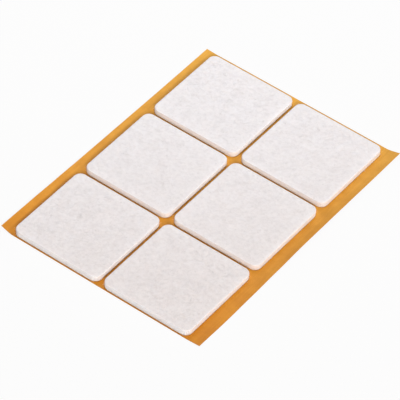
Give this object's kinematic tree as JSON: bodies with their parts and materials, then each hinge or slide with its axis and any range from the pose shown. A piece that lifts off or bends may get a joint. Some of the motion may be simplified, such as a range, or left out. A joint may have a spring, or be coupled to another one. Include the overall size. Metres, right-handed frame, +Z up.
{
  "type": "felt furniture slider sheet",
  "caption": "Sheet of square self-adhesive felt furniture sliders with rounded corners, in a grid on an orange release liner; each pad lifts off to stick under a furniture foot.",
  "frame": {"origin": "middle of the liner's underside, on the surface that the sheet lies on", "axes": "+X across the columns to the right, +Y along the rows from front to back, +Z up, out of the liner through the felt"},
  "size_m": [0.0932, 0.1284, 0.0029],
  "materials": {
    "felt": "matte needled felt",
    "adhesive": "tacky, translucent",
    "tissue": "matte tissue",
    "liner_paper": "smooth silicone-coated, low sheen"
  },
  "bodies": {
    "liner": {"liner": "liner_paper"},
    "pad_front_left": {"stick_coat_front_left": "adhesive", "tape_carrier_front_left": "tissue", "bond_coat_front_left": "adhesive", "felt_pad_front_left": "felt"},
    "pad_front_right": {"stick_coat_front_right": "adhesive", "tape_carrier_front_right": "tissue", "bond_coat_front_right": "adhesive", "felt_pad_front_right": "felt"},
    "pad_middle_left": {"stick_coat_middle_left": "adhesive", "tape_carrier_middle_left": "tissue", "bond_coat_middle_left": "adhesive", "felt_pad_middle_left": "felt"},
    "pad_middle_right": {"stick_coat_middle_right": "adhesive", "tape_carrier_middle_right": "tissue", "bond_coat_middle_right": "adhesive", "felt_pad_middle_right": "felt"},
    "pad_back_left": {"stick_coat_back_left": "adhesive", "tape_carrier_back_left": "tissue", "bond_coat_back_left": "adhesive", "felt_pad_back_left": "felt"},
    "pad_back_right": {"stick_coat_back_right": "adhesive", "tape_carrier_back_right": "tissue", "bond_coat_back_right": "adhesive", "felt_pad_back_right": "felt"}
  },
  "joints": [
    {"name": "lift_front_left", "type": "slide", "parent": "liner", "child": "pad_front_left", "axis": [0, 0, 1], "range_m": [0, 0.03]},
    {"name": "lift_front_right", "type": "slide", "parent": "liner", "child": "pad_front_right", "axis": [0, 0, 1], "range_m": [0, 0.03]},
    {"name": "lift_middle_left", "type": "slide", "parent": "liner", "child": "pad_middle_left", "axis": [0, 0, 1], "range_m": [0, 0.03]},
    {"name": "lift_middle_right", "type": "slide", "parent": "liner", "child": "pad_middle_right", "axis": [0, 0, 1], "range_m": [0, 0.03]},
    {"name": "lift_back_left", "type": "slide", "parent": "liner", "child": "pad_back_left", "axis": [0, 0, 1], "range_m": [0, 0.03]},
    {"name": "lift_back_right", "type": "slide", "parent": "liner", "child": "pad_back_right", "axis": [0, 0, 1], "range_m": [0, 0.03]}
  ]
}
